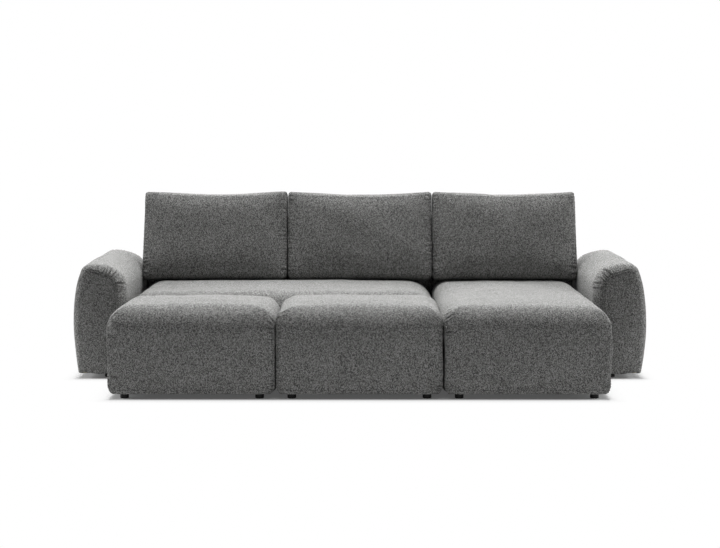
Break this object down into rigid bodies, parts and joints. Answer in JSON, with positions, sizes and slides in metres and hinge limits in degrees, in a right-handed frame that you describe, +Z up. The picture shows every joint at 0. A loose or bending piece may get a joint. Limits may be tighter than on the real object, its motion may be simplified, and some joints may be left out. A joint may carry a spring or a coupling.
{
  "type": "sofa bed with chaise",
  "caption": "Modular sofa bed: upholstered bench and chaise between rounded arms, with loose back cushions and footrests that dock in front to make a bed.",
  "frame": {"origin": "on the floor under the middle of the whole sofa bed", "axes": "+X along the back towards the chaise, +Y from the front to the back, +Z up"},
  "size_m": [2.9454, 1.5842, 0.9327],
  "materials": {
    "upholstery": "heathered grey woven upholstery, matt with a soft sheen",
    "dust_cover": "black non-woven fleece",
    "timber": "raw plywood and softwood boards",
    "webbing": "woven elastic straps",
    "foam": "open-cell seat foam",
    "cushion_filling": "foam core in fibre wadding",
    "foot_plastic": "moulded black plastic",
    "zip": "nylon coil zip on woven tape",
    "zinc_steel": "zinc-plated steel"
  },
  "bodies": {
    "sofa": {"bench_frame": "timber", "bench_webbing": "webbing", "bench_foam": "foam", "bench_cover": "upholstery", "bench_dust_cover": "dust_cover", "bench_feet": "foot_plastic", "chaise_frame": "timber", "chaise_webbing": "webbing", "chaise_foam": "foam", "chaise_cover": "upholstery", "chaise_dust_cover": "dust_cover", "chaise_feet": "foot_plastic", "left_arm_frame": "timber", "left_arm_foam": "foam", "left_arm_cover": "upholstery", "left_arm_dust_cover": "dust_cover", "left_arm_feet": "foot_plastic", "right_arm_frame": "timber", "right_arm_foam": "foam", "right_arm_cover": "upholstery", "right_arm_dust_cover": "dust_cover", "right_arm_feet": "foot_plastic", "bench_back_frame": "timber", "bench_back_foam": "foam", "bench_back_cover": "upholstery", "bench_back_dust_cover": "dust_cover", "chaise_back_frame": "timber", "chaise_back_foam": "foam", "chaise_back_cover": "upholstery", "chaise_back_dust_cover": "dust_cover", "back_bolts": "zinc_steel", "tie_plates": "zinc_steel", "tie_plate_screws": "zinc_steel", "sofa_foot_screws": "zinc_steel"},
    "left_footrest": {"left_footrest_frame": "timber", "left_footrest_webbing": "webbing", "left_footrest_foam": "foam", "left_footrest_cover": "upholstery", "left_footrest_dust_cover": "dust_cover", "left_footrest_feet": "foot_plastic", "left_footrest_foot_screws": "zinc_steel"},
    "right_footrest": {"right_footrest_frame": "timber", "right_footrest_webbing": "webbing", "right_footrest_foam": "foam", "right_footrest_cover": "upholstery", "right_footrest_dust_cover": "dust_cover", "right_footrest_feet": "foot_plastic", "right_footrest_foot_screws": "zinc_steel"},
    "left_back_cushion": {"left_back_cushion_cover": "upholstery", "left_back_cushion_core": "cushion_filling", "left_back_cushion_zip": "zip"},
    "middle_back_cushion": {"middle_back_cushion_cover": "upholstery", "middle_back_cushion_core": "cushion_filling", "middle_back_cushion_zip": "zip"},
    "right_back_cushion": {"right_back_cushion_cover": "upholstery", "right_back_cushion_core": "cushion_filling", "right_back_cushion_zip": "zip"}
  },
  "joints": [
    {"name": "left_footrest_slide", "type": "slide", "parent": "sofa", "child": "left_footrest", "axis": [0, -1, 0], "range_m": [0, 0.6]},
    {"name": "right_footrest_slide", "type": "slide", "parent": "sofa", "child": "right_footrest", "axis": [0, -1, 0], "range_m": [0, 0.6]},
    {"name": "left_back_cushion_lift", "type": "slide", "parent": "sofa", "child": "left_back_cushion", "axis": [0, 0, 1], "range_m": [0, 0.45]},
    {"name": "middle_back_cushion_lift", "type": "slide", "parent": "sofa", "child": "middle_back_cushion", "axis": [0, 0, 1], "range_m": [0, 0.45]},
    {"name": "right_back_cushion_lift", "type": "slide", "parent": "sofa", "child": "right_back_cushion", "axis": [0, 0, 1], "range_m": [0, 0.45]}
  ]
}
